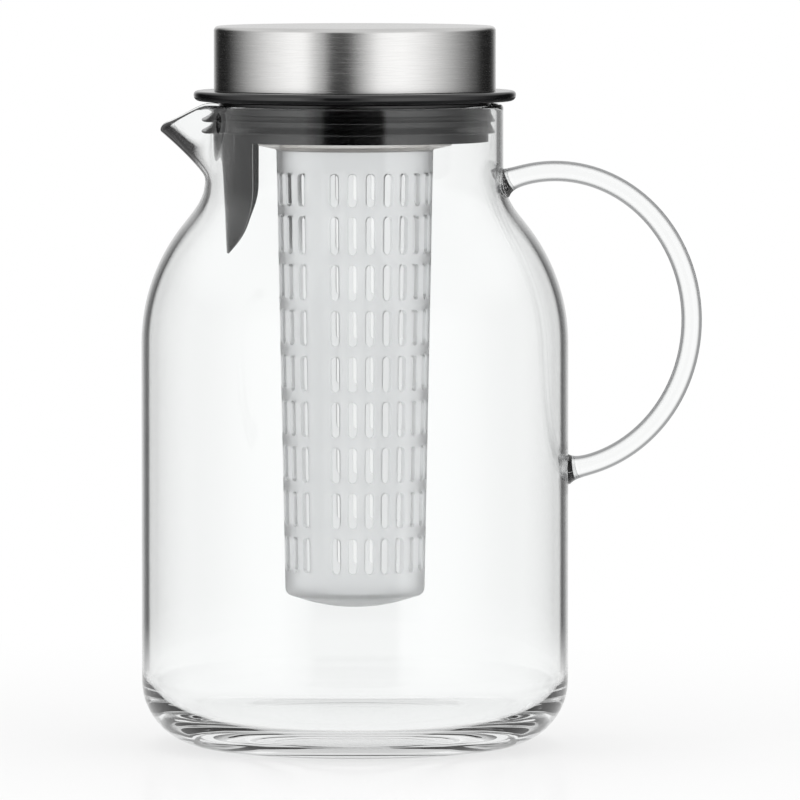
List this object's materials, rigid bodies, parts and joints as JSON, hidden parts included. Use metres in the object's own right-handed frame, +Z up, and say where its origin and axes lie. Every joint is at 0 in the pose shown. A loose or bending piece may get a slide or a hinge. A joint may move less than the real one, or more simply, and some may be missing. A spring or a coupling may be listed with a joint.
{
  "type": "fruit infuser pitcher",
  "caption": "Glass pitcher with a pulled spout and a bent glass rod handle, a steel-capped lid with a lip seal and pour guard, and a slotted infuser tube screwed under the lid.",
  "frame": {"origin": "centre of the jug's foot, on the jug's axis, in the plane it stands on", "axes": "+Z up along the jug's axis, handle towards +X and spout towards -X, +Y to the side"},
  "size_m": [0.1772, 0.135, 0.2275],
  "materials": {
    "jug_glass": "clear polished",
    "cap_steel": "brushed around the axis",
    "liner_plastic": "satin",
    "flange_plastic": "soft gloss",
    "plug_plastic": "satin",
    "seal_silicone": "matte silicone",
    "washer_silicone": "translucent silicone",
    "infuser_plastic": "clear"
  },
  "bodies": {
    "jug": {"jug_foot": "jug_glass", "jug_wall": "jug_glass", "jug_neck": "jug_glass", "glass_handle": "jug_glass"},
    "seal": {"neck_seal": "seal_silicone"},
    "lid": {"steel_cap": "cap_steel", "cap_liner": "liner_plastic", "lid_flange": "flange_plastic", "lid_plug": "plug_plastic", "screw_socket": "plug_plastic", "pour_guard": "plug_plastic"},
    "washer": {"infuser_washer": "washer_silicone"},
    "infuser": {"infuser_tube": "infuser_plastic"}
  },
  "joints": [
    {"name": "lid_lift", "type": "slide", "parent": "jug", "child": "seal", "axis": [0, 0, 1], "range_m": [0, 0.165]},
    {"name": "lid_turn", "type": "hinge", "parent": "seal", "child": "lid", "pos_m": [0, 0, 0.1989], "axis": [0, 0, 1], "continuous": true},
    {"name": "infuser_drop", "type": "slide", "parent": "lid", "child": "washer", "axis": [0, 0, -1], "range_m": [0, 0.006]},
    {"name": "infuser_turn", "type": "hinge", "parent": "washer", "child": "infuser", "pos_m": [0, 0, 0.1914], "axis": [0, 0, -1], "range_deg": [0, 90]}
  ],
  "couplings": [
    {"joint": "infuser_turn", "follows": "infuser_drop", "rad_per_m": 261.8}
  ]
}
